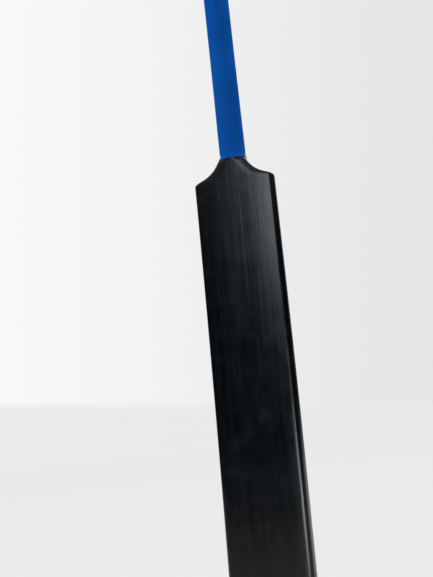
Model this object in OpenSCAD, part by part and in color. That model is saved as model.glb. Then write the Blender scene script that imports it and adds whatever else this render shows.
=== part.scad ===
// Full-size cricket bat, built from its real pieces: a willow blade, a cane handle
// glued into it with a V splice, rubber springs in the handle, a twine binding,
// a rubber grip and a rubber toe guard.
//
// The origin is the middle of the toe's flat underside. +Z runs up, along the handle,
// +X is to the right of someone who looks at the hitting face, and that face looks
// towards -Y. Lengths are in millimetres and angles in degrees.

/* [Bat] */
// Length from the toe to the end of the handle
total_len = 870; // [800:1:1020]
// Angle between the handle's axis and the line of the hitting face
face_pitch = 2.9; // [0:0.1:4]
// How far the hitting face is hollow along its length
bow = 4; // [0:0.1:6]

/* [Blade] */
// Width of the blade
blade_w = 108; // [90:1:130]
// Height of the shoulder tips above the toe
shoulder_z = 541; // [440:1:580]
// Rise of the face's middle above its sides
face_crown = 0.8; // [0.1:0.1:3]
// Radius between the face and the edges
face_r = 6.5; // [2:0.5:8]
// Radius between the edges and the back
back_r = 7; // [2:0.5:8]
// Edge thickness at the toe
edge_toe = 27; // [18:0.5:30]
// Edge thickness at the swell
edge_swell = 27; // [20:0.5:38]
// Edge thickness at the shoulders
edge_shoulder = 22; // [15:0.5:24]
// Thickness through the spine at the toe
spine_toe = 34; // [30:0.5:42]
// Thickness through the spine at the swell
spine_swell = 59; // [44:0.5:66]
// Thickness through the spine at the shoulders
spine_shoulder = 35; // [30:0.5:40]
// Height of the swell above the toe
swell_z = 225; // [150:1:300]
// Roundness of the spine, from sharp to full
spine_round = 0.22; // [0.05:0.01:0.5]
// Radius of the toe's two corners
toe_r = 11; // [4:0.5:20]

/* [Shoulders and neck] */
// Fall of the shoulders towards the edges
shoulder_slope = 22; // [12:1:32]
// Radius of the curve that sweeps from shoulder to neck
sweep_r = 46.5; // [38:0.5:52]
// Width between the two sweeps at their closest
waist_w = 28.2; // [24:0.2:30]
// Softness of the shoulder tips
tip_soft = 6; // [2:0.5:10]
// Willow left beside the handle where the neck ends
cheek = 0.8; // [0.5:0.1:1.5]
// Height of the neck's end above the shoulder tips
neck_rise = 35; // [31:0.5:42]
// Share of that rise over which the neck turns from flat-faced to round
neck_square = 0.55; // [0.4:0.05:1]

/* [Handle] */
// Diameter of the cane at the neck
handle_low_d = 30.4; // [29:0.1:37]
// Diameter of the cane in the upper hand's place
handle_top_d = 29.2; // [27:0.1:30.4]
// Length of the parallel stretch below the handle's end
parallel_len = 150; // [90:5:200]
// Depth of the V splice below the neck's end
splice_len = 131; // [100:1:150]
// Width of the V splice at its blunt tip
splice_tip_w = 12; // [10:0.5:16]
// Width of the centre strip of cane
centre_strip_w = 9.2; // [6:0.2:9.6]
// Distance between neighbouring springs
slab_pitch = 7.5; // [6:0.1:8.5]
// Thickness of each rubber spring
spring_t = 1.2; // [0.8:0.1:2]
// Thickness of the twine
twine_d = 0.8; // [0.5:0.1:1.2]

/* [Grip and toe guard] */
// Wall of the grip
grip_wall = 1.4; // [1:0.1:2.5]
// Wall of the grip where it is stretched over the neck
grip_hem_wall = 1; // [0.7:0.1:1.4]
// How far the grip reaches down over the neck
grip_overlap = 6; // [3:0.5:7]
// Thickness of the grip's turned-in top
grip_lip_t = 2; // [1.2:0.1:4]
// Diameter of the hole in the grip's top
grip_hole_d = 18; // [8:0.5:24]
// Thickness of the toe guard
guard_t = 3; // [2:0.1:5]

/* [Fits] */
// Glue line around the splice, and between the twine and the cane
glue_gap = 0.1; // [0.05:0.01:0.2]
// Gap between the grip and what it covers
grip_gap = 0.1; // [0.05:0.01:0.2]

/* [Hidden] */

// Big enough to pass right through the bat in any direction
past = 200;
// Facets of the turned pieces
$fn = 96;

// Neck and handle, from the named sizes
neck_z = shoulder_z + neck_rise;
handle_low_r = handle_low_d / 2;
handle_top_r = handle_top_d / 2;
neck_r = handle_low_r + cheek;
handle_end = total_len - grip_lip_t - grip_gap;
parallel_z = total_len - parallel_len;
splice_z = neck_z - splice_len;
handle_y = face_y(neck_z) + neck_r;

// Centre of the shoulder sweep, and the height where it meets the sloping shoulder
sweep_x = waist_w / 2 + sweep_r;
sweep_start_x = sweep_x - sweep_r * sin(shoulder_slope);
sweep_start_z = shoulder_z + (blade_w / 2 - sweep_start_x) * tan(shoulder_slope);
sweep_z = sweep_start_z + sweep_r * cos(shoulder_slope);
tip_fillet = min(tip_soft, blade_w / 2 - sweep_start_x);
tip_reach = tip_fillet * tan(shoulder_slope);
neck_angle = asin((sweep_z - neck_z) / sweep_r);

// ---- curves of the blade, each a function of the height z ----

function mix(a, b, t) = a + (b - a) * t;
function smooth(t) = let (c = min(1, max(0, t))) c * c * (3 - 2 * c);
function soft_min(a, b, k) = min(a, b) - pow(max(k - abs(a - b), 0), 2) / (4 * k);
function soft_max(a, b, k) = -soft_min(-a, -b, k);

// The face: a line that leans by face_pitch, hollowed by the bow
function face_y(z) =
    let (h = z - guard_t, span = shoulder_z - guard_t)
    h * tan(face_pitch) + 4 * bow * (h / span) * (1 - h / span) - spine_toe / 2;

// A thickness that grows from the toe to the swell and shrinks to the shoulders
function along(z, toe, swell, shoulder) = z < swell_z
    ? mix(toe, swell, smooth((z - guard_t) / (swell_z - guard_t)))
    : mix(swell, shoulder, smooth((z - swell_z) / (shoulder_z - swell_z)));

// Half the blade's width: round toe corners, straight edges, sloping shoulders, sweeps
function toe_half_w(z) = blade_w / 2 - toe_r + sqrt(max(0, toe_r ^ 2 - (toe_r + guard_t - z) ^ 2));
function slope_half_w(z) = blade_w / 2 - (z - shoulder_z) / tan(shoulder_slope);
function sweep_half_w(z) = sweep_x - sqrt(max(0, sweep_r ^ 2 - (sweep_z - z) ^ 2));
function half_w(z) = z < guard_t + toe_r ? toe_half_w(z)
    : z < sweep_start_z ? soft_min(blade_w / 2, slope_half_w(z), tip_fillet)
    : soft_max(neck_r, sweep_half_w(z), cheek);

// Height of the back between its corner (0) and the spine (1), q being the way out
function spine_rise(q) =
    1 - (sqrt(q * q + spine_round ^ 2) - spine_round) / (sqrt(1 + spine_round ^ 2) - spine_round);

// One level outline of the blade: face, right edge, back, left edge
back_steps = [0.75, 0.5, 0.28, 0.12, 0, -0.12, -0.28, -0.5, -0.75];
function blade_outline(z) =
    let (
        w = half_w(z),
        y = face_y(z),
        edge = along(z, edge_toe, edge_swell, edge_shoulder),
        spine = along(z, spine_toe, spine_swell, spine_shoulder),
        flat = w - face_r,
        right = concat(
            [for (a = [22.5, 45, 67.5]) [flat + face_r * sin(a), y + face_crown + face_r * (1 - cos(a))]],
            [[w, y + face_crown + face_r]],
            [for (a = [0, 30, 60]) [w - back_r * (1 - cos(a)), y + edge - back_r * (1 - sin(a))]]
        ),
        corner = right[len(right) - 1]
    )
    concat(
        [for (i = [-3 : 3]) [flat * i / 3, y + face_crown * (i / 3) ^ 2]],
        right,
        [for (q = back_steps) [corner.x * q, mix(corner.y, y + spine, spine_rise(q))]],
        [for (i = [len(right) - 1 : -1 : 0]) [-right[i].x, right[i].y]]
    );

// The neck's outline, point for point against the blade's: an oval as deep as the handle
neck_right_angles = [56, 67, 78, 90, 102, 114, 126];
neck_angles = concat(
    [for (a = [-45 : 15 : 45]) a],
    neck_right_angles,
    [138, 150, 162, 171, 180, 189, 198, 210, 222],
    [for (i = [len(neck_right_angles) - 1 : -1 : 0]) 360 - neck_right_angles[i]]
);
function neck_outline(z) = [
    for (a = neck_angles) [half_w(z) * sin(a), face_y(z) + neck_r * (1 - cos(a))]
];

function outline(z) =
    let (
        blade = blade_outline(z),
        neck = neck_outline(z),
        t = smooth((z - shoulder_z) / neck_rise / neck_square - (1 / neck_square - 1))
    )
    [for (i = [0 : len(blade) - 1]) mix(blade[i], neck[i], t)];

// Levels at which the outline is taken
edge_rows = 26;
sweep_rows = 10;
toe_levels = [for (a = [0 : 22.5 : 67.5]) guard_t + toe_r * (1 - cos(a))];
edge_low = guard_t + toe_r;
edge_high = shoulder_z - tip_reach;
edge_levels = [for (i = [0 : edge_rows]) mix(edge_low, edge_high, i / edge_rows)];
tip_levels = [for (i = [-0.5, 0, 0.5, 1]) shoulder_z + i * tip_reach];
sweep_levels = [
    for (i = [0 : sweep_rows])
        sweep_z - sweep_r * sin(mix(90 - shoulder_slope, neck_angle, i / sweep_rows))
];
levels = concat(toe_levels, edge_levels, tip_levels, sweep_levels);

// Joins the outlines at the given levels into one closed solid
module loft(zs) {
    rings = [for (z = zs) outline(z)];
    n = len(rings[0]);
    rows = len(zs);
    points = [for (j = [0 : rows - 1]) for (p = rings[j]) [p.x, p.y, zs[j]]];
    sides = [
        for (j = [0 : rows - 2]) for (i = [0 : n - 1])
            let (a = j * n + i, b = j * n + (i + 1) % n)
            each [[a, a + n, b + n], [a, b + n, b]]
    ];
    bottom = [for (i = [0 : n - 1]) i];
    top = [for (i = [n - 1 : -1 : 0]) (rows - 1) * n + i];
    polyhedron(points, concat([bottom, top], sides), convexity = 6);
}

// ---- handle ----

// Radius of the turned cane at height z
function handle_r(z) =
    mix(handle_low_r, handle_top_r, min(1, (z - neck_z) / (parallel_z - neck_z)));

// A ring around the handle's axis between two radii, each given at the three heights
module sleeve(inner, outer, zs) {
    side = [for (i = [0 : len(zs) - 1]) [outer[i], zs[i]]];
    bore = [for (i = [len(zs) - 1 : -1 : 0]) [inner[i], zs[i]]];
    translate([0, handle_y]) rotate_extrude() polygon(concat(side, bore));
}

// The V of the splice, right through the bat from front to back, grown by a gap
module splice(gap) {
    tip = splice_tip_w / 2 + gap;
    root = handle_low_r + gap;
    translate([0, handle_y + past / 2]) rotate([90, 0, 0]) linear_extrude(past)
        polygon([[-tip, splice_z - gap], [tip, splice_z - gap], [root, neck_z], [-root, neck_z]]);
}

// The turned part of the handle, above the neck
module turned_cane() {
    zs = [neck_z, parallel_z, handle_end];
    side = [for (z = zs) [handle_r(z), z]];
    translate([0, handle_y]) rotate_extrude()
        polygon(concat(side, [[0, handle_end], [0, neck_z]]));
}

// The part of the bat that the cane fills in the splice, flush with the blade
module splice_cane() {
    intersection() {
        splice(0);
        loft([for (z = levels) if (z > splice_z - splice_tip_w) z]);
    }
}

// The whole handle, turned above the neck and shaped with the blade below it
module handle_blank() {
    turned_cane();
    splice_cane();
}

// Slabs of cane lie between the springs, and each slab is three strips wide
spring_ys = [-slab_pitch, 0, slab_pitch];
slab_low = [-past, -slab_pitch + spring_t / 2, spring_t / 2, slab_pitch + spring_t / 2];
slab_high = [-slab_pitch - spring_t / 2, -spring_t / 2, slab_pitch - spring_t / 2, past];
strip_low = [-past, -centre_strip_w / 2, centre_strip_w / 2];
strip_high = [-centre_strip_w / 2, centre_strip_w / 2, past];

module cane(slab, strip) {
    size = [strip_high[strip] - strip_low[strip], slab_high[slab] - slab_low[slab], total_len];
    color("#c9a063") intersection() {
        handle_blank();
        translate([strip_low[strip], handle_y + slab_low[slab]]) cube(size);
    }
}

module spring(i) {
    size = [past, spring_t, total_len];
    color("#7d3b30") intersection() {
        handle_blank();
        translate([-past / 2, handle_y + spring_ys[i] - spring_t / 2]) cube(size);
    }
}

module twine_binding() {
    zs = [neck_z + glue_gap, parallel_z, handle_end - twine_d];
    color("#d9cfae") sleeve(
        [for (z = zs) handle_r(z) + glue_gap],
        [for (z = zs) handle_r(z) + glue_gap + twine_d],
        zs
    );
}

// ---- outside pieces ----

module blade() {
    color("#1d2226") difference() {
        loft(levels);
        splice(glue_gap);
    }
}

module toe_guard() {
    color("#141414") linear_extrude(guard_t) polygon(outline(guard_t));
}

// The grip: a sleeve over the twine, stretched over the neck, turned in at the top.
// Its hem is wide enough to pass the furthest corner of the neck.
grip_z = neck_z - grip_overlap;
hem_top = neck_z + grip_overlap;
function grip_bore(z) = handle_r(z) + glue_gap + twine_d + grip_gap;
neck_reach = max([for (p = outline(grip_z)) norm([p.x, p.y - handle_y])]);
hem_bore = max(neck_reach, grip_bore(neck_z)) + grip_gap;
grip_soft = grip_wall / 2;

module grip() {
    bore = [
        [grip_hole_d / 2, total_len],
        [grip_hole_d / 2, total_len - grip_lip_t],
        [grip_bore(total_len), total_len - grip_lip_t],
        [grip_bore(parallel_z), parallel_z],
        [grip_bore(hem_top), hem_top],
        [hem_bore, grip_z]
    ];
    side = [
        [hem_bore + grip_hem_wall, grip_z],
        [grip_bore(hem_top) + grip_wall, hem_top],
        [grip_bore(parallel_z) + grip_wall, parallel_z],
        [grip_bore(total_len) + grip_wall, total_len - grip_soft],
        [grip_bore(total_len) + grip_wall - grip_soft, total_len]
    ];
    color("#0d4396") translate([0, handle_y]) rotate_extrude() polygon(concat(bore, side));
}

blade();
toe_guard();
cane(0, 0);  // cane_front_left
cane(0, 1);  // cane_front_centre
cane(0, 2);  // cane_front_right
cane(1, 0);  // cane_midfront_left
cane(1, 1);  // cane_midfront_centre
cane(1, 2);  // cane_midfront_right
cane(2, 0);  // cane_midback_left
cane(2, 1);  // cane_midback_centre
cane(2, 2);  // cane_midback_right
cane(3, 0);  // cane_back_left
cane(3, 1);  // cane_back_centre
cane(3, 2);  // cane_back_right
spring(0);  // spring_front
spring(1);  // spring_middle
spring(2);  // spring_back
twine_binding();
grip();
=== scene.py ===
"""A full-size cricket bat with a black lacquered willow blade and a blue rubber grip,
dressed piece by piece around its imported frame. Lengths in the sections are in
millimetres, and mm turns them into Blender's metres."""

import math

import bpy
from mathutils import Matrix, Vector


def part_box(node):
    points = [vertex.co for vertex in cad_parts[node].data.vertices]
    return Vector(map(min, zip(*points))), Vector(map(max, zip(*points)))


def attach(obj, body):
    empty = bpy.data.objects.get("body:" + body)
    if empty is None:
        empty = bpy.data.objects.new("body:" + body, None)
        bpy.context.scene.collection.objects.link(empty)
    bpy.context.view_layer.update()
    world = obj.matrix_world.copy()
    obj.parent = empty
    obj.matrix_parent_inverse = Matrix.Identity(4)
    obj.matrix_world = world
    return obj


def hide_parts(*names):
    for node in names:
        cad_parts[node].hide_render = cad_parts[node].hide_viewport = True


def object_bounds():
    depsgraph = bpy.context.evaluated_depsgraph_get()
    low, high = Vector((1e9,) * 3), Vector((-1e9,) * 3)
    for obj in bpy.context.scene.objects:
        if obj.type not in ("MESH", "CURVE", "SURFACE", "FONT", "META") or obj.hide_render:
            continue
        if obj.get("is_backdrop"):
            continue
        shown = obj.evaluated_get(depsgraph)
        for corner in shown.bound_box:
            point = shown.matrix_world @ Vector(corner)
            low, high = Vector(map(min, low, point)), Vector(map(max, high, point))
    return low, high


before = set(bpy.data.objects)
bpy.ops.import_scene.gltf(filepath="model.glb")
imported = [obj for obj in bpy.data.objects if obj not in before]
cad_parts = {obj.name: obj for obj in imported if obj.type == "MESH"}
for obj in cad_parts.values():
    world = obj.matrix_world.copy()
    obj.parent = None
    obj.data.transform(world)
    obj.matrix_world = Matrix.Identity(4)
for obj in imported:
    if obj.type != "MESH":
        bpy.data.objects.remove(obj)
cad_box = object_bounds()
mm = 0.001


# ---------------------------------------------------------------------------
# View: the bat stands on its toe on a pale studio floor. The camera is low,
# turned round to the bat's right edge, and leans a little to one side.
# ---------------------------------------------------------------------------
camera_place = Vector((0.2795, -1.1162, 0.2329))
camera_turn = (
    Matrix.Rotation(math.radians(15.702), 4, "Z")
    @ Matrix.Rotation(math.radians(90 + 8.035), 4, "X")
    @ Matrix.Rotation(math.radians(-5.907), 4, "Z")
)
bpy.ops.object.camera_add(location=camera_place)
camera = bpy.context.object
camera.name = "camera"
camera.matrix_world = Matrix.Translation(camera_place) @ camera_turn
camera.data.lens = 56.12
camera.data.sensor_width = 36
camera.data.clip_end = 40
bpy.context.scene.camera = camera


def start_material(name):
    """A new material with its shader, and a short way to add and join nodes."""
    material = bpy.data.materials.new(name)
    material.use_nodes = True
    tree = material.node_tree
    shader = tree.nodes["Principled BSDF"]

    def add(kind, links=None, **values):
        node = tree.nodes.new(kind)
        for key, value in values.items():
            if hasattr(node, key):
                setattr(node, key, value)
            else:
                node.inputs[key.replace("_", " ")].default_value = value
        for key, source in (links or {}).items():
            tree.links.new(source, node.inputs[key])
        return node

    return material, tree, shader, add


def studio_material(name, tones):
    """A pale matt surface. What the camera and glossy surfaces see of it is even,
    and the rest is its own shade, so that it keeps the bat's shadow."""
    material, tree, shader, add = start_material(name)
    shader.inputs["Base Color"].default_value = (0.36, 0.36, 0.36, 1)
    shader.inputs["Roughness"].default_value = 0.9
    place = add("ShaderNodeTexCoord")
    split = add("ShaderNodeSeparateXYZ", {0: place.outputs["Object"]})
    across = add("ShaderNodeMapRange", {0: split.outputs["X"]}, interpolation_type="SMOOTHSTEP")
    across.inputs["From Min"].default_value = tones["left_x"]
    across.inputs["From Max"].default_value = tones["right_x"]
    low = add("ShaderNodeMix", {0: across.outputs[0]}, data_type="RGBA")
    low.inputs[6].default_value = tones["low_left"]
    low.inputs[7].default_value = tones["low_right"]
    high = add("ShaderNodeMix", {0: across.outputs[0]}, data_type="RGBA")
    high.inputs[6].default_value = tones["high_left"]
    high.inputs[7].default_value = tones["high_right"]
    rise = add("ShaderNodeMapRange", {0: split.outputs["Y"]}, interpolation_type="SMOOTHSTEP")
    rise.inputs["From Min"].default_value = tones["join_y"] - 0.035
    rise.inputs["From Max"].default_value = tones["join_y"] + 0.035
    both = add("ShaderNodeMix", {0: rise.outputs[0]}, data_type="RGBA")
    tree.links.new(low.outputs[2], both.inputs[6])
    tree.links.new(high.outputs[2], both.inputs[7])
    glow = add("ShaderNodeEmission", {0: both.outputs[2]})
    path = add("ShaderNodeLightPath")
    seen = add("ShaderNodeMath", operation="MAXIMUM")
    tree.links.new(path.outputs["Is Camera Ray"], seen.inputs[0])
    dim = add("ShaderNodeMath", {0: path.outputs["Is Glossy Ray"]}, operation="MULTIPLY")
    dim.inputs[1].default_value = tones["glossy"]
    tree.links.new(dim.outputs[0], seen.inputs[1])
    seen_through = add("ShaderNodeMath", operation="MAXIMUM")
    tree.links.new(seen.outputs[0], seen_through.inputs[0])
    tree.links.new(path.outputs["Is Transmission Ray"], seen_through.inputs[1])
    share = add("ShaderNodeMath", {0: seen_through.outputs[0]}, operation="MULTIPLY")
    share.inputs[1].default_value = tones["even"]
    mix = add("ShaderNodeMixShader", {0: share.outputs[0]})
    tree.links.new(shader.outputs[0], mix.inputs[1])
    tree.links.new(glow.outputs[0], mix.inputs[2])
    tree.links.new(mix.outputs[0], tree.nodes["Material Output"].inputs["Surface"])
    return material


bpy.ops.mesh.primitive_plane_add(size=16, location=(0, 0, 0))
floor = bpy.context.object
floor.name = "studio_floor"
floor.data.materials.append(
    studio_material(
        "studio_floor",
        dict(
            left_x=-1.2, right_x=1.2, join_y=50, even=0.95, glossy=0.06,
            low_left=(0.843, 0.843, 0.848, 1), low_right=(0.843, 0.843, 0.848, 1),
            high_left=(0.835, 0.835, 0.84, 1), high_right=(0.835, 0.835, 0.84, 1),
        ),
    )
)
floor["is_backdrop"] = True

backdrop_away = 6
bpy.ops.mesh.primitive_plane_add(size=4.1, location=(0, 0, 0))
backdrop = bpy.context.object
backdrop.name = "studio_backdrop"
backdrop.matrix_world = (
    Matrix.Translation(camera_place) @ camera_turn @ Matrix.Translation((0, 0, -backdrop_away))
)
# Painted light on the backdrop: its upper part is painted lighter at the left and darker at the right
backdrop.data.materials.append(
    studio_material(
        "studio_backdrop",
        dict(
            left_x=-1.7, right_x=1.6, join_y=-0.1305 * backdrop_away, even=1.0, glossy=1.0,
            low_left=(0.82, 0.82, 0.825, 1), low_right=(0.815, 0.815, 0.82, 1),
            high_left=(0.94, 0.94, 0.94, 1), high_right=(0.79, 0.79, 0.79, 1),
        ),
    )
)
backdrop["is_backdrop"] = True

# Soft boxes: a big key light high on the left, a dim panel in front, a low one
# by the right edge and a weak one behind. The room is pale above and dark in front.
def soft_box(name, place, aim, size, power, tint):
    bpy.ops.object.light_add(type="AREA", location=place)
    lamp = bpy.context.object
    lamp.name = name
    lamp.rotation_euler = (Vector(aim) - Vector(place)).to_track_quat("-Z", "Y").to_euler()
    lamp.data.shape = "RECTANGLE"
    lamp.data.size = size[0]
    lamp.data.size_y = size[1]
    lamp.data.energy = power
    lamp.data.color = tint
    return lamp


key = soft_box("soft_box_key", (-1.7, -1.0, 2.9), (0, 0, 0.5), (1.8, 1.8), 115, (1.0, 0.99, 0.98))
key.visible_glossy = False
soft_box("soft_box_front", (0.2, -2.9, 1.5), (0, 0, 0.5), (1.5, 0.8), 12.5, (0.84, 0.97, 1))
soft_box("soft_box_low", (0.85, -2.2, 0.12), (0, 0, 0.2), (1.5, 0.5), 16, (0.9, 0.98, 1))
fill = soft_box("soft_box_right", (2.0, 0.2, 2.6), (0, 0, 0.5), (1.2, 1.2), 65, (1, 1, 1))
fill.visible_glossy = False
soft_box("soft_box_back", (0.3, 2.6, 2.4), (0, 0, 0.4), (1.6, 1.0), 14, (1, 1, 1))

world = bpy.data.worlds.new("studio")
bpy.context.scene.world = world
world.use_nodes = True
room = world.node_tree
room_place = room.nodes.new("ShaderNodeTexCoord")
room_split = room.nodes.new("ShaderNodeSeparateXYZ")
room.links.new(room_place.outputs["Generated"], room_split.inputs[0])
room_ramp = room.nodes.new("ShaderNodeValToRGB")
room.links.new(room_split.outputs["Z"], room_ramp.inputs[0])
room_ramp.color_ramp.elements[0].position = 0.2
room_ramp.color_ramp.elements[0].color = (0.003, 0.005, 0.008, 1)
room_ramp.color_ramp.elements[1].position = 0.6
room_ramp.color_ramp.elements[1].color = (0.42, 0.43, 0.44, 1)
room_path = room.nodes.new("ShaderNodeLightPath")
room_seen = room.nodes.new("ShaderNodeMix")
room_seen.data_type = "RGBA"
room.links.new(room_path.outputs["Is Camera Ray"], room_seen.inputs[0])
room.links.new(room_ramp.outputs[0], room_seen.inputs[6])
room_seen.inputs[7].default_value = (0.85, 0.85, 0.855, 1)
room.links.new(room_seen.outputs[2], room.nodes["Background"].inputs[0])
room.nodes["Background"].inputs[1].default_value = 1.0
bpy.context.scene.view_settings.view_transform = "Standard"


# ---------------------------------------------------------------------------
# Blade: one cleft of willow, pressed and shaped, with a slightly crowned and
# hollowed face, thick edges, a spined back and two swept shoulders. It has
# several sprayed coats of black lacquer, which run over the splice as well.
# ---------------------------------------------------------------------------
blade_low, blade_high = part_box("blade")
guard_t = blade_low.z / mm
half_blade = blade_high.x / mm
neck_z = blade_high.z / mm
shoulder_z = neck_z - 35
neck_r = 16
span = shoulder_z - guard_t
toe_corner = 11
sweep_r = 46.5
slope = math.tan(math.radians(22))
sweep_x = 28.2 / 2 + sweep_r
sweep_start_x = sweep_x - sweep_r * math.sin(math.radians(22))
sweep_start_z = shoulder_z + (half_blade - sweep_start_x) * slope
sweep_z = sweep_start_z + sweep_r * math.cos(math.radians(22))
face_r = 6.5
back_r = 7
lacquer = 0.16


def ease(t):
    t = min(1, max(0, t))
    return t * t * (3 - 2 * t)


def soft_min(a, b, k):
    return min(a, b) - max(k - abs(a - b), 0) ** 2 / (4 * k)


def face_y(z):
    h = z - guard_t
    return h * math.tan(math.radians(2.9)) + 16 * (h / span) * (1 - h / span) - 17


def thickness(z, toe, swell, shoulder):
    if z < 225:
        return toe + (swell - toe) * ease((z - guard_t) / (225 - guard_t))
    return swell + (shoulder - swell) * ease((z - 225) / (shoulder_z - 225))


def half_width(z):
    if z < guard_t + toe_corner:
        return half_blade - toe_corner + math.sqrt(
            max(0, toe_corner**2 - (toe_corner + guard_t - z) ** 2)
        )
    if z < sweep_start_z:
        return soft_min(half_blade, half_blade - (z - shoulder_z) / slope, 6)
    swept = sweep_x - math.sqrt(max(0, sweep_r**2 - (sweep_z - z) ** 2))
    return -soft_min(-neck_r, -swept, 0.8)


def ring(z):
    """The blade's outline at a height: face, right edge, back, left edge."""
    w = half_width(z)
    y = face_y(z)
    edge = thickness(z, 27, 27, 22)
    spine = thickness(z, 34, 59, 35)
    flat = w - face_r
    right = [
        (flat + face_r * math.sin(math.radians(a)), y + 0.8 + face_r * (1 - math.cos(math.radians(a))))
        for a in (15, 30, 45, 60, 75, 90)
    ]
    right.append((w, y + 0.5 * (0.8 + face_r + edge - back_r)))
    right += [
        (w - back_r * (1 - math.cos(math.radians(a))), y + edge - back_r * (1 - math.sin(math.radians(a))))
        for a in (0, 15, 30, 45, 60)
    ]
    corner = right[-1]
    root = math.sqrt(1 + 0.22**2) - 0.22
    back = []
    for step in range(1, 24):
        q = 1 - step / 12
        rise = 1 - (math.sqrt(q * q + 0.22**2) - 0.22) / root
        back.append((corner[0] * q, corner[1] + (y + spine - corner[1]) * rise))
    face = [(flat * i / 8, y + 0.8 * (i / 8) ** 4) for i in range(-8, 9)]
    blade_ring = face + right + back + [(-x, yy) for x, yy in reversed(right)]
    count = len(blade_ring)
    angles = (
        [-48 + 96 * i / 16 for i in range(17)]
        + [48 + 84 * (i + 1) / 13 for i in range(12)]
        + [132 + 96 * (i + 1) / 24 for i in range(23)]
        + [-48 - 84 * (12 - i) / 13 for i in range(12)]
    )
    mix = ease((z - shoulder_z) / 35 / 0.3 - (1 / 0.3 - 1))
    out = []
    for i in range(count):
        a = math.radians(angles[i])
        neck = (w * math.sin(a), y + neck_r * (1 - math.cos(a)))
        out.append(
            (
                blade_ring[i][0] + (neck[0] - blade_ring[i][0]) * mix,
                blade_ring[i][1] + (neck[1] - blade_ring[i][1]) * mix,
            )
        )
    return out


heights = [guard_t + toe_corner * (1 - math.cos(math.radians(a))) for a in range(0, 90, 10)]
heights += [14 + (shoulder_z - 29) * i / 60 for i in range(61)]
heights += [shoulder_z + i for i in (-12, -9, -7, -5, -3, -1.5, 0, 1.5, 3, 4.3)]
heights += [
    sweep_z - sweep_r * math.sin(math.radians(68 - (68 - 15.6) * i / 24)) for i in range(1, 24)
]
heights.append(neck_z)
first = ring(heights[0])

bpy.ops.object.select_all(action="DESELECT")
bpy.ops.mesh.primitive_circle_add(vertices=len(first), radius=54 * mm, location=(0, 0, 0))
blade = bpy.context.object
blade.name = "lacquered_blade"
bpy.ops.object.mode_set(mode="EDIT")
bpy.ops.mesh.select_all(action="SELECT")
for low, high in zip(heights, heights[1:]):
    bpy.ops.mesh.extrude_region_move(
        TRANSFORM_OT_translate={"value": (0, 0, (high - low) * mm)}
    )
bpy.ops.object.mode_set(mode="OBJECT")
for row, z in enumerate(heights):
    for i, (x, y) in enumerate(ring(z)):
        blade.data.vertices[row * len(first) + i].co = (x * mm, y * mm, z * mm)
bpy.ops.object.mode_set(mode="EDIT")
bpy.ops.mesh.select_all(action="DESELECT")
bpy.ops.mesh.select_non_manifold()
bpy.ops.mesh.edge_face_add()
bpy.ops.mesh.select_all(action="SELECT")
bpy.ops.mesh.normals_make_consistent(inside=False)
bpy.ops.object.mode_set(mode="OBJECT")
film = blade.modifiers.new("lacquer", "DISPLACE")
film.strength = lacquer * mm
film.mid_level = 0
bpy.ops.object.modifier_apply(modifier="lacquer")
bpy.ops.object.shade_smooth_by_angle(angle=math.radians(50))


def lacquer_material():
    material, tree, shader, add = start_material("black_lacquer")
    place = add("ShaderNodeTexCoord")
    along = add("ShaderNodeMapping", {0: place.outputs["Object"]})
    along.inputs["Scale"].default_value = (420, 420, 9)
    grain = add("ShaderNodeTexNoise", {"Vector": along.outputs[0]}, Scale=1.0, Detail=5.0, Roughness=0.6)
    broad = add("ShaderNodeMapping", {0: place.outputs["Object"]})
    broad.inputs["Scale"].default_value = (170, 170, 3.5)
    bands = add("ShaderNodeTexNoise", {"Vector": broad.outputs[0]}, Scale=1.0, Detail=3.0)
    smudge = add("ShaderNodeTexNoise", {"Vector": place.outputs["Object"]}, Scale=38.0, Detail=6.0, Roughness=0.65)
    colour = add("ShaderNodeValToRGB", {0: bands.outputs["Fac"]})
    colour.color_ramp.elements[0].position = 0.3
    colour.color_ramp.elements[0].color = (0.0002, 0.0007, 0.0016, 1)
    colour.color_ramp.elements[1].position = 0.7
    colour.color_ramp.elements[1].color = (0.0014, 0.0026, 0.0038, 1)
    dust = add("ShaderNodeMapRange", {0: smudge.outputs["Fac"]})
    dust.inputs["From Min"].default_value = 0.54
    dust.inputs["From Max"].default_value = 0.85
    dust.inputs["To Max"].default_value = 0.25
    dusty = add("ShaderNodeMix", {0: dust.outputs[0]}, data_type="RGBA")
    tree.links.new(colour.outputs[0], dusty.inputs[6])
    dusty.inputs[7].default_value = (0.02, 0.027, 0.029, 1)
    tree.links.new(dusty.outputs[2], shader.inputs["Base Color"])
    rough = add("ShaderNodeMapRange", {0: smudge.outputs["Fac"]})
    rough.inputs["From Min"].default_value = 0.22
    rough.inputs["From Max"].default_value = 0.75
    rough.inputs["To Min"].default_value = 0.12
    rough.inputs["To Max"].default_value = 0.2
    streak = add(
        "ShaderNodeMath",
        {0: bands.outputs["Fac"], 2: rough.outputs[0]},
        operation="MULTIPLY_ADD",
    )
    streak.inputs[1].default_value = 0.08
    tree.links.new(streak.outputs[0], shader.inputs["Roughness"])
    relief = add("ShaderNodeMath", {0: bands.outputs["Fac"], 2: grain.outputs["Fac"]}, operation="MULTIPLY_ADD")
    relief.inputs[1].default_value = 3
    bump = add("ShaderNodeBump", {"Height": relief.outputs[0]}, Strength=0.35, Distance=0.0001)
    tree.links.new(bump.outputs[0], shader.inputs["Normal"])
    shader.inputs["IOR"].default_value = 1.5
    return material


blade.data.materials.clear()
blade.data.materials.append(lacquer_material())
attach(blade, "root")
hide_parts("blade")


# ---------------------------------------------------------------------------
# Grip: a moulded rubber tube, rolled on over the twine and stretched over the
# neck. Fine raised diamonds cover it, its hem is a plain band that hugs the
# oval neck, and its top is turned in around a round hole. Painted shade darkens
# the grooves between the diamonds in the rubber's colour, and painted light brightens their tops.
# ---------------------------------------------------------------------------
grip_low, grip_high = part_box("grip")
handle_y = face_y(neck_z) + neck_r
grip_top = grip_high.z / mm
hem_z = grip_low.z / mm
parallel_z = grip_top - 150
diamond = 3.2
around = 136
column_turn = 2 * math.pi / around


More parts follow.
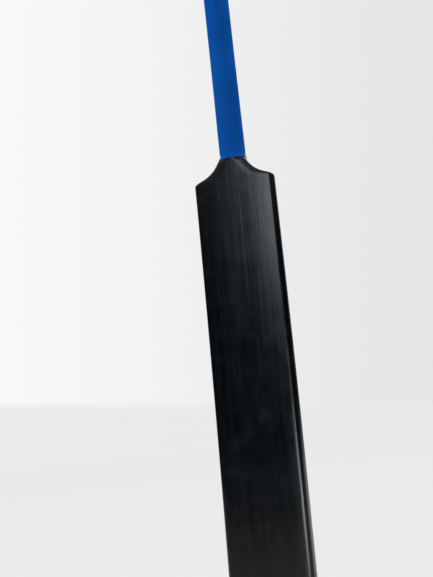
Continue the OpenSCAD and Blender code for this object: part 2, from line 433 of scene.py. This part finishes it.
def tube_r(z):
    """Outer radius of the rubber tube where it lies on the handle."""
    return 17.6 - 0.6 * min(1, max(0, (z - neck_z - 6) / (parallel_z - neck_z - 6)))


def neck_reach(z, a):
    """How far the neck reaches from the handle's axis in one direction."""
    points = ring(min(z, neck_z))
    best = 0
    for (x0, y0), (x1, y1) in zip(points, points[1:] + points[:1]):
        dx, dy = math.sin(a), -math.cos(a)
        ex, ey = x1 - x0, y1 - y0
        det = dx * ey - dy * ex
        if abs(det) < 1e-9:
            continue
        t = (x0 * ey - (y0 - handle_y) * ex) / det
        s = (x0 * dy - (y0 - handle_y) * dx) / det
        if t > 0 and -1e-6 <= s <= 1 + 1e-6:
            best = max(best, t)
    return best


# Outer rows from the hem up, then over the top, and back down inside
outer = []
z = hem_z + 0.5
while z < grip_top - 0.5:
    outer.append(z)
    z += diamond / 4
grip_rows = [("hem", hem_z)] + [("outer", z) for z in outer]
grip_rows += [("top", a) for a in (20, 45, 70, 90)]
grip_rows += [("lip", 0), ("lip", 1), ("lip", 2)]
grip_rows += [("bore", z) for z in (grip_top - 2.2, parallel_z, neck_z + 6)]
grip_rows += [("cuff", z) for z in (neck_z, hem_z + 3, hem_z + 0.4)]
cuff = {
    z: [neck_reach(z, i * column_turn) + lacquer for i in range(around)]
    for z in [hem_z] + [z for z in outer if z < neck_z + 8] + [neck_z, hem_z + 3, hem_z + 0.4]
}
bpy.ops.object.select_all(action="DESELECT")
bpy.ops.mesh.primitive_grid_add(
    x_subdivisions=around, y_subdivisions=len(grip_rows), size=1, location=(0, 0, 0)
)
grip = bpy.context.object
grip.name = "rubber_grip"
columns = around + 1
# Painted light and shade: each point's share is high on the diamonds' tops and low in the grooves, and it later
# scales the rubber's colour
painted_light_at = {}
for row in range(len(grip_rows) + 1):
    kind, value = grip_rows[row % len(grip_rows)]
    for column in range(columns):
        i = column % around
        a = i * column_turn
        if kind in ("hem", "outer", "cuff"):
            z = value
            r = tube_r(z)
            if z in cuff:
                stretch = 1 - ease((z - neck_z) / 8)
                wall = 1.0 if kind != "cuff" else 0.05
                hug = cuff[z][i] + wall
                r = max(hug, r * (1 - stretch) + hug * stretch) if kind != "cuff" else hug
                r = r if kind == "cuff" else max(r, hug)
            if kind == "hem":
                r -= 0.45
            if kind == "outer":
                n = row - 1
                plain = ease((z - hem_z - 6.4) / 0.8)
                one = 2 - abs((i + n) % 4 - 2)
                two = 2 - abs((i - n) % 4 - 2)
                raised = min(one, two) / 2
                r -= 0.5 * (1 - raised) * plain + 0.22 * (1 - plain)
                painted_light_at[row * columns + column] = 0.38 * (1 - plain) + raised * plain
                if z - hem_z < 1.8:
                    r += 0.22
        elif kind == "top":
            t = math.radians(value)
            r = tube_r(grip_top) - 0.7 * (1 - math.cos(t))
            z = grip_top - 0.7 + 0.7 * math.sin(t)
        elif kind == "lip":
            r = (9.5, 9.0, 9.0)[value]
            z = grip_top - (0, 0.5, 2)[value]
        else:
            z = value
            r = tube_r(z) - 1.38
        grip.data.vertices[row * columns + column].co = (
            r * math.sin(a) * mm, (handle_y - r * math.cos(a)) * mm, z * mm
        )
# The share of painted light and shade is stored on each point for the grip's material
painted_light_layer = grip.data.attributes.new("raised", "FLOAT", "POINT")
for i in range(len(grip.data.vertices)):
    painted_light_layer.data[i].value = painted_light_at.get(i, 0.6)
bpy.ops.object.mode_set(mode="EDIT")
bpy.ops.mesh.select_all(action="SELECT")
bpy.ops.mesh.remove_doubles(threshold=0.00001)
bpy.ops.mesh.normals_make_consistent(inside=False)
bpy.ops.object.mode_set(mode="OBJECT")
bpy.ops.object.shade_smooth_by_angle(angle=math.radians(75))


def grip_rubber():
    material, tree, shader, add = start_material("blue_grip_rubber")
    place = add("ShaderNodeTexCoord")
    cloud = add("ShaderNodeTexNoise", {"Vector": place.outputs["Object"]}, Scale=24.0, Detail=5.0)
    colour = add("ShaderNodeValToRGB", {0: cloud.outputs["Fac"]})
    colour.color_ramp.elements[0].position = 0.3
    colour.color_ramp.elements[0].color = (0.0006, 0.064, 0.31, 1)
    colour.color_ramp.elements[1].position = 0.7
    colour.color_ramp.elements[1].color = (0.0015, 0.083, 0.38, 1)
    # Painted shade and light: the grooves' blue is scaled down to 0.06 and the diamonds' tops up to twice the
    # rubber's blue
    raised = add("ShaderNodeAttribute", attribute_name="raised")
    painted_groove_shade = add("ShaderNodeMapRange", {0: raised.outputs["Fac"]})
    painted_groove_shade.inputs["To Min"].default_value = 0.06
    painted_groove_shade.inputs["To Max"].default_value = 2.0
    shade = add("ShaderNodeVectorMath", {0: colour.outputs[0]}, operation="SCALE")
    tree.links.new(painted_groove_shade.outputs[0], shade.inputs["Scale"])
    tree.links.new(shade.outputs[0], shader.inputs["Base Color"])
    shader.inputs["Specular IOR Level"].default_value = 0.08
    fine = add("ShaderNodeTexNoise", {"Vector": place.outputs["Object"]}, Scale=900.0, Detail=3.0)
    rough = add("ShaderNodeMapRange", {0: fine.outputs["Fac"]})
    rough.inputs["To Min"].default_value = 0.6
    rough.inputs["To Max"].default_value = 0.78
    tree.links.new(rough.outputs[0], shader.inputs["Roughness"])
    bump = add("ShaderNodeBump", {"Height": fine.outputs["Fac"]}, Strength=0.15, Distance=0.0001)
    tree.links.new(bump.outputs[0], shader.inputs["Normal"])
    return material


grip.data.materials.clear()
grip.data.materials.append(grip_rubber())
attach(grip, "root")
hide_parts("grip")


# ---------------------------------------------------------------------------
# Handle: twelve strips of Sarawak cane in four slabs, glued up, turned round
# above the neck and cut to a V below it, where the blade's lacquer covers them.
# ---------------------------------------------------------------------------
def covered_by_lacquer(tree, add, place, bare, coat):
    """The bare colour above the neck, and the coat's colour on the splice below it."""
    split = add("ShaderNodeSeparateXYZ", {0: place.outputs["Object"]})
    above = add("ShaderNodeMath", {0: split.outputs["Z"]}, operation="GREATER_THAN")
    above.inputs[1].default_value = (neck_z - 0.2) * mm
    mix = add("ShaderNodeMix", {0: above.outputs[0]}, data_type="RGBA")
    mix.inputs[6].default_value = coat
    tree.links.new(bare, mix.inputs[7])
    return mix.outputs[2]


def cane_material():
    material, tree, shader, add = start_material("glued_cane")
    place = add("ShaderNodeTexCoord")
    fibre_place = add("ShaderNodeMapping", {0: place.outputs["Object"]})
    fibre_place.inputs["Scale"].default_value = (1500, 1500, 22)
    fibre = add("ShaderNodeTexNoise", {"Vector": fibre_place.outputs[0]}, Scale=1.0, Detail=4.0)
    pores = add("ShaderNodeTexVoronoi", {"Vector": fibre_place.outputs[0]}, Scale=0.7)
    colour = add("ShaderNodeValToRGB", {0: fibre.outputs["Fac"]})
    colour.color_ramp.elements[0].position = 0.3
    colour.color_ramp.elements[0].color = (0.33, 0.2, 0.085, 1)
    colour.color_ramp.elements[1].position = 0.7
    colour.color_ramp.elements[1].color = (0.6, 0.42, 0.2, 1)
    tree.links.new(
        covered_by_lacquer(tree, add, place, colour.outputs[0], (0.001, 0.002, 0.003, 1)),
        shader.inputs["Base Color"],
    )
    rough = add("ShaderNodeMapRange", {0: pores.outputs["Distance"]})
    rough.inputs["To Min"].default_value = 0.45
    rough.inputs["To Max"].default_value = 0.7
    tree.links.new(rough.outputs[0], shader.inputs["Roughness"])
    bump = add("ShaderNodeBump", {"Height": fibre.outputs["Fac"]}, Strength=0.3, Distance=0.0002)
    tree.links.new(bump.outputs[0], shader.inputs["Normal"])
    return material


def dress(nodes, material):
    for name in nodes:
        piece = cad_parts[name]
        piece.data.materials.clear()
        piece.data.materials.append(material)


dress([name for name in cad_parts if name.startswith("cane_")], cane_material())


# ---------------------------------------------------------------------------
# Springs: three thin sheets of rubber glued between the slabs of cane, from
# the handle's end to the tip of the splice. They soften the sting of a hit.
# ---------------------------------------------------------------------------
def spring_rubber():
    material, tree, shader, add = start_material("spring_rubber")
    place = add("ShaderNodeTexCoord")
    crumb = add("ShaderNodeTexNoise", {"Vector": place.outputs["Object"]}, Scale=700.0, Detail=4.0)
    colour = add("ShaderNodeValToRGB", {0: crumb.outputs["Fac"]})
    colour.color_ramp.elements[0].position = 0.35
    colour.color_ramp.elements[0].color = (0.13, 0.035, 0.025, 1)
    colour.color_ramp.elements[1].position = 0.65
    colour.color_ramp.elements[1].color = (0.26, 0.075, 0.05, 1)
    tree.links.new(
        covered_by_lacquer(tree, add, place, colour.outputs[0], (0.001, 0.002, 0.003, 1)),
        shader.inputs["Base Color"],
    )
    rough = add("ShaderNodeMapRange", {0: crumb.outputs["Fac"]})
    rough.inputs["To Min"].default_value = 0.6
    rough.inputs["To Max"].default_value = 0.85
    tree.links.new(rough.outputs[0], shader.inputs["Roughness"])
    bump = add("ShaderNodeBump", {"Height": crumb.outputs["Fac"]}, Strength=0.25, Distance=0.0001)
    tree.links.new(bump.outputs[0], shader.inputs["Normal"])
    return material


dress([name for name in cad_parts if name.startswith("spring_")], spring_rubber())


# ---------------------------------------------------------------------------
# Twine: waxed linen thread wound on the glued cane, turn against turn, from the
# neck to the handle's end. The grip hides it and is kept from turning by it.
# ---------------------------------------------------------------------------
twine_low, twine_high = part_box("twine_binding")
twine_end_r = (twine_high.x - twine_low.x) / 2 / mm
twine_d = 0.8
twine_bottom = twine_low.z / mm + twine_d / 2
turns = int((twine_high.z / mm - twine_d / 2 - twine_bottom) / twine_d)
turn_steps = 20

bpy.ops.object.select_all(action="DESELECT")
bpy.ops.mesh.primitive_circle_add(
    vertices=6,
    radius=twine_d / 2 * mm,
    location=((twine_end_r - twine_d / 2) * mm, 0, twine_bottom * mm),
    rotation=(math.pi / 2, 0, 0),
)
twine = bpy.context.object
twine.name = "wound_twine"
bpy.ops.object.transform_apply(location=True, rotation=True, scale=True)
winding = twine.modifiers.new("winding", "SCREW")
winding.screw_offset = twine_d * mm
winding.iterations = turns
winding.steps = turn_steps
winding.render_steps = turn_steps
winding.use_smooth_shade = True
bpy.ops.object.modifier_apply(modifier="winding")
for vertex in twine.data.vertices:
    z = vertex.co.z / mm
    # The cane tapers by 0.6 mm on the radius up to its parallel stretch
    closer = 0.6 * min(1, max(0, (z - neck_z) / (parallel_z - neck_z)))
    far = math.hypot(vertex.co.x, vertex.co.y)
    share = (far - closer * mm) / far
    vertex.co.x *= share
    vertex.co.y = vertex.co.y * share + handle_y * mm
bpy.ops.object.mode_set(mode="EDIT")
bpy.ops.mesh.select_all(action="DESELECT")
bpy.ops.mesh.select_non_manifold()
bpy.ops.mesh.fill_holes(sides=6)
bpy.ops.mesh.select_all(action="SELECT")
bpy.ops.mesh.normals_make_consistent(inside=False)
bpy.ops.object.mode_set(mode="OBJECT")


def twine_material():
    material, tree, shader, add = start_material("waxed_twine")
    place = add("ShaderNodeTexCoord")
    strand = add("ShaderNodeTexNoise", {"Vector": place.outputs["Object"]}, Scale=1600.0, Detail=3.0)
    cloud = add("ShaderNodeTexNoise", {"Vector": place.outputs["Object"]}, Scale=60.0, Detail=3.0)
    colour = add("ShaderNodeValToRGB", {0: cloud.outputs["Fac"]})
    colour.color_ramp.elements[0].position = 0.3
    colour.color_ramp.elements[0].color = (0.5, 0.42, 0.27, 1)
    colour.color_ramp.elements[1].position = 0.7
    colour.color_ramp.elements[1].color = (0.68, 0.6, 0.43, 1)
    tree.links.new(colour.outputs[0], shader.inputs["Base Color"])
    rough = add("ShaderNodeMapRange", {0: strand.outputs["Fac"]})
    rough.inputs["To Min"].default_value = 0.55
    rough.inputs["To Max"].default_value = 0.85
    tree.links.new(rough.outputs[0], shader.inputs["Roughness"])
    bump = add("ShaderNodeBump", {"Height": strand.outputs["Fac"]}, Strength=0.4, Distance=0.0001)
    tree.links.new(bump.outputs[0], shader.inputs["Normal"])
    return material


twine.data.materials.clear()
twine.data.materials.append(twine_material())
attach(twine, "root")
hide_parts("twine_binding")


# ---------------------------------------------------------------------------
# Toe guard: a sheet of black rubber, cut to the toe's outline and glued under
# it. Its rims are rounded by sanding, and its underside is scuffed.
# ---------------------------------------------------------------------------
bpy.ops.object.select_all(action="DESELECT")
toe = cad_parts["toe_guard"].copy()
toe.data = toe.data.copy()
toe.name = "toe_rubber"
toe.parent = None
for key in list(toe.keys()):
    del toe[key]
bpy.context.scene.collection.objects.link(toe)
bpy.context.view_layer.objects.active = toe
toe.select_set(True)
bpy.ops.object.mode_set(mode="EDIT")
bpy.ops.mesh.select_all(action="SELECT")
bpy.ops.mesh.remove_doubles(threshold=0.000001)
bpy.ops.mesh.dissolve_limited(angle_limit=math.radians(2))
bpy.ops.object.mode_set(mode="OBJECT")
rim = toe.modifiers.new("rim", "BEVEL")
rim.width = 0.7 * mm
rim.segments = 3
rim.limit_method = "ANGLE"
rim.angle_limit = math.radians(60)
bpy.ops.object.modifier_apply(modifier="rim")
bpy.ops.object.shade_smooth_by_angle(angle=math.radians(40))


def toe_material():
    material, tree, shader, add = start_material("toe_guard_rubber")
    place = add("ShaderNodeTexCoord")
    grit = add("ShaderNodeTexNoise", {"Vector": place.outputs["Object"]}, Scale=420.0, Detail=6.0)
    scuff_place = add("ShaderNodeMapping", {0: place.outputs["Object"]})
    scuff_place.inputs["Scale"].default_value = (50, 240, 240)
    scuff = add("ShaderNodeTexNoise", {"Vector": scuff_place.outputs[0]}, Scale=1.0, Detail=5.0)
    colour = add("ShaderNodeValToRGB", {0: scuff.outputs["Fac"]})
    colour.color_ramp.elements[0].position = 0.45
    colour.color_ramp.elements[0].color = (0.006, 0.006, 0.0065, 1)
    colour.color_ramp.elements[1].position = 0.75
    colour.color_ramp.elements[1].color = (0.03, 0.029, 0.028, 1)
    tree.links.new(colour.outputs[0], shader.inputs["Base Color"])
    rough = add("ShaderNodeMapRange", {0: grit.outputs["Fac"]})
    rough.inputs["To Min"].default_value = 0.55
    rough.inputs["To Max"].default_value = 0.85
    tree.links.new(rough.outputs[0], shader.inputs["Roughness"])
    bump = add("ShaderNodeBump", {"Height": grit.outputs["Fac"]}, Strength=0.3, Distance=0.0002)
    tree.links.new(bump.outputs[0], shader.inputs["Normal"])
    return material


toe.data.materials.clear()
toe.data.materials.append(toe_material())
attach(toe, "root")
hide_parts("toe_guard")


# ---------------------------------------------------------------------------
# Close: the sizes of the frame and of the dressed bat are put side by side.
# ---------------------------------------------------------------------------
def plain(box):
    return [[round(float(v), 6) for v in corner] for corner in box]


{"cad": plain(cad_box), "visual": plain(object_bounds())}
